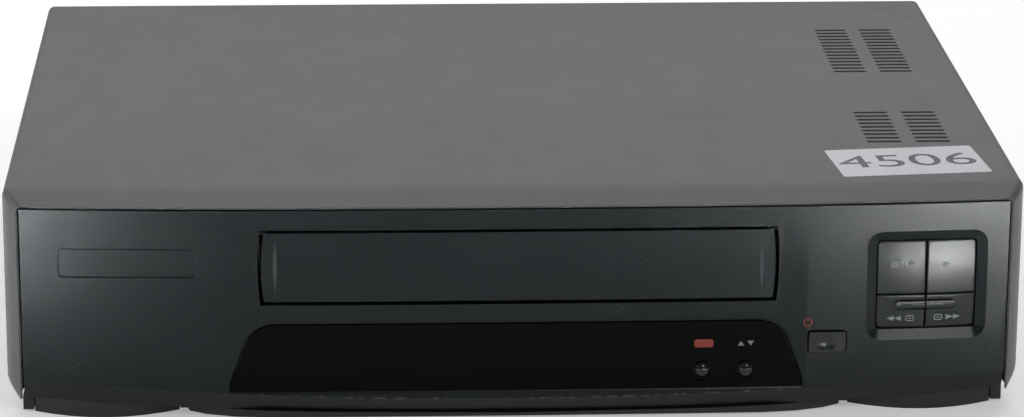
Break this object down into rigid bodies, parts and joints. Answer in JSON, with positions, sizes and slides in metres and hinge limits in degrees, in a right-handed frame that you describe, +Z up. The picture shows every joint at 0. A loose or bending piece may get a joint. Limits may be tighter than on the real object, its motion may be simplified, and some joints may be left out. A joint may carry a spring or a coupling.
{
  "type": "video cassette recorder",
  "caption": "Front-loading VHS video cassette recorder with bowed front, hinged cassette flap, smoked display window, transport buttons and a working tape deck inside.",
  "frame": {"origin": "middle of the whole footprint, on the surface that the recorder stands on", "axes": "+X across the width to the user's right, +Y from the front to the rear, +Z up"},
  "size_m": [0.38, 0.3046, 0.087],
  "materials": {
    "painted_steel": "satin mid-grey paint",
    "charcoal_plastic": "satin charcoal moulding",
    "black_plastic": "matt",
    "black_gloss": "gloss",
    "black_rubber": "matt",
    "white_plastic": "matt",
    "circuit_board": "matt laminate",
    "zinc_steel": "zinc plated",
    "bright_steel": "polished",
    "aluminium": "machined",
    "core_iron": "laminated core and tape",
    "display_glass": "clear"
  },
  "bodies": {
    "chassis": {"top_cover": "painted_steel", "cover_screw_left_1": "zinc_steel", "cover_screw_left_2": "zinc_steel", "cover_screw_right_1": "zinc_steel", "cover_screw_right_2": "zinc_steel", "front_fascia": "charcoal_plastic", "display_window": "black_gloss", "bottom_tray": "black_plastic", "front_foot_left": "black_plastic", "front_foot_right": "black_plastic", "rear_foot_left": "black_rubber", "rear_foot_right": "black_rubber", "rear_panel": "black_plastic", "rear_screw_left": "zinc_steel", "rear_screw_right": "zinc_steel", "scart_socket_1": "black_plastic", "scart_socket_2": "black_plastic", "tuner_modulator": "zinc_steel", "aerial_in_socket": "zinc_steel", "aerial_out_plug": "zinc_steel", "mains_inlet": "black_plastic", "main_board": "circuit_board", "power_board": "circuit_board", "power_transformer": "core_iron", "heat_sink": "aluminium", "key_board": "circuit_board", "display_tube": "display_glass", "deck_plate": "zinc_steel", "carriage_bracket_left": "zinc_steel", "carriage_bracket_right": "zinc_steel", "carriage_top_stay": "zinc_steel", "lower_drum": "aluminium", "capstan_housing": "zinc_steel", "audio_control_head": "bright_steel", "erase_head": "bright_steel", "loading_motor": "zinc_steel"},
    "flap": {"cassette_flap": "charcoal_plastic"},
    "carrier": {"basket_carrier": "zinc_steel"},
    "basket": {"cassette_basket": "zinc_steel"},
    "stop_key": {"stop_button": "charcoal_plastic"},
    "play_key": {"play_button": "charcoal_plastic"},
    "rewind_key": {"rewind_button": "charcoal_plastic"},
    "fast_forward_key": {"fast_forward_button": "charcoal_plastic"},
    "power_key": {"power_button": "charcoal_plastic"},
    "record_key": {"record_button": "charcoal_plastic"},
    "channel_key": {"channel_button": "charcoal_plastic"},
    "drum": {"upper_drum": "aluminium"},
    "capstan": {"capstan_flywheel": "bright_steel"},
    "supply_spool": {"supply_reel": "black_plastic"},
    "takeup_spool": {"takeup_reel": "black_plastic"},
    "pinch_lever": {"pinch_arm": "zinc_steel"},
    "pinch_wheel": {"pinch_roller": "black_rubber"},
    "supply_post": {"supply_guide": "bright_steel"},
    "takeup_post": {"takeup_guide": "bright_steel"},
    "tension_lever": {"tension_arm": "zinc_steel"},
    "idler_lever": {"idler_arm": "black_plastic"},
    "idler_wheel": {"idler_gear": "white_plastic"},
    "mode_wheel": {"mode_gear": "white_plastic"},
    "worm": {"loading_worm": "white_plastic"}
  },
  "joints": [
    {"name": "flap_hinge", "type": "hinge", "parent": "chassis", "child": "flap", "pos_m": [0.0006, -0.1487, 0.0736], "axis": [-1, 0, 0], "range_deg": [-85, 0], "stiffness_Nm_per_rad": 0.01},
    {"name": "carrier_slide", "type": "slide", "parent": "chassis", "child": "carrier", "axis": [0, 1, 0], "range_m": [0, 0.062]},
    {"name": "basket_drop", "type": "slide", "parent": "carrier", "child": "basket", "axis": [0, 0, -1], "range_m": [0, 0.02]},
    {"name": "stop_press", "type": "slide", "parent": "chassis", "child": "stop_key", "axis": [0, 1, 0], "range_m": [0, 0.0008], "stiffness_N_per_m": 200},
    {"name": "play_press", "type": "slide", "parent": "chassis", "child": "play_key", "axis": [0, 1, 0], "range_m": [0, 0.0008], "stiffness_N_per_m": 200},
    {"name": "rewind_press", "type": "slide", "parent": "chassis", "child": "rewind_key", "axis": [0, 1, 0], "range_m": [0, 0.0008], "stiffness_N_per_m": 200},
    {"name": "fast_forward_press", "type": "slide", "parent": "chassis", "child": "fast_forward_key", "axis": [0, 1, 0], "range_m": [0, 0.0008], "stiffness_N_per_m": 200},
    {"name": "power_press", "type": "slide", "parent": "chassis", "child": "power_key", "axis": [0, 1, 0], "range_m": [0, 0.0008], "stiffness_N_per_m": 200},
    {"name": "record_press", "type": "slide", "parent": "chassis", "child": "record_key", "axis": [0, 1, 0], "range_m": [0, 0.0008], "stiffness_N_per_m": 200},
    {"name": "channel_press", "type": "slide", "parent": "chassis", "child": "channel_key", "axis": [0, 1, 0], "range_m": [0, 0.0008], "stiffness_N_per_m": 200},
    {"name": "drum_spin", "type": "hinge", "parent": "chassis", "child": "drum", "pos_m": [0, 0.06625, 0.02174], "axis": [0.1045, 0, 0.9945], "continuous": true},
    {"name": "capstan_spin", "type": "hinge", "parent": "chassis", "child": "capstan", "pos_m": [0.07, 0.03626, 0.0125], "axis": [0, 0, 1], "continuous": true},
    {"name": "supply_reel_spin", "type": "hinge", "parent": "chassis", "child": "supply_spool", "pos_m": [-0.046, -0.03075, 0.0185], "axis": [0, 0, 1], "continuous": true},
    {"name": "takeup_reel_spin", "type": "hinge", "parent": "chassis", "child": "takeup_spool", "pos_m": [0.046, -0.03075, 0.0185], "axis": [0, 0, 1], "continuous": true},
    {"name": "pinch_arm_swing", "type": "hinge", "parent": "chassis", "child": "pinch_lever", "pos_m": [0.09201, 0.03225, 0.0292], "axis": [0, 0, 1], "range_deg": [0, 38], "stiffness_Nm_per_rad": 0.02},
    {"name": "pinch_roller_spin", "type": "hinge", "parent": "pinch_lever", "child": "pinch_wheel", "pos_m": [0.085, 0.04925, 0.032], "axis": [0, 0, 1], "continuous": true},
    {"name": "supply_guide_load", "type": "slide", "parent": "chassis", "child": "supply_post", "axis": [0, 1, 0], "range_m": [0, 0.044]},
    {"name": "takeup_guide_load", "type": "slide", "parent": "chassis", "child": "takeup_post", "axis": [0, 1, 0], "range_m": [0, 0.044]},
    {"name": "tension_arm_swing", "type": "hinge", "parent": "chassis", "child": "tension_lever", "pos_m": [-0.088, 0.03426, 0.024], "axis": [0, 0, 1], "range_deg": [-12, 12], "stiffness_Nm_per_rad": 0.02},
    {"name": "idler_arm_swing", "type": "hinge", "parent": "chassis", "child": "idler_lever", "pos_m": [0, -0.05775, 0.0185], "axis": [0, 0, 1], "range_deg": [-24, 24]},
    {"name": "idler_gear_spin", "type": "hinge", "parent": "idler_lever", "child": "idler_wheel", "pos_m": [0, -0.02775, 0.0214], "axis": [0, 0, 1], "continuous": true},
    {"name": "mode_gear_turn", "type": "hinge", "parent": "chassis", "child": "mode_wheel", "pos_m": [-0.08, 0.07924, 0.0275], "axis": [0, 0, 1], "range_deg": [0, 150]},
    {"name": "worm_turn", "type": "hinge", "parent": "chassis", "child": "worm", "pos_m": [-0.0637, 0.08874, 0.0275], "axis": [0, 1, 0], "continuous": true}
  ],
  "couplings": [
    {"joint": "takeup_guide_load", "follows": "supply_guide_load", "ratio": 1},
    {"joint": "worm_turn", "follows": "mode_gear_turn", "ratio": 6.5}
  ]
}
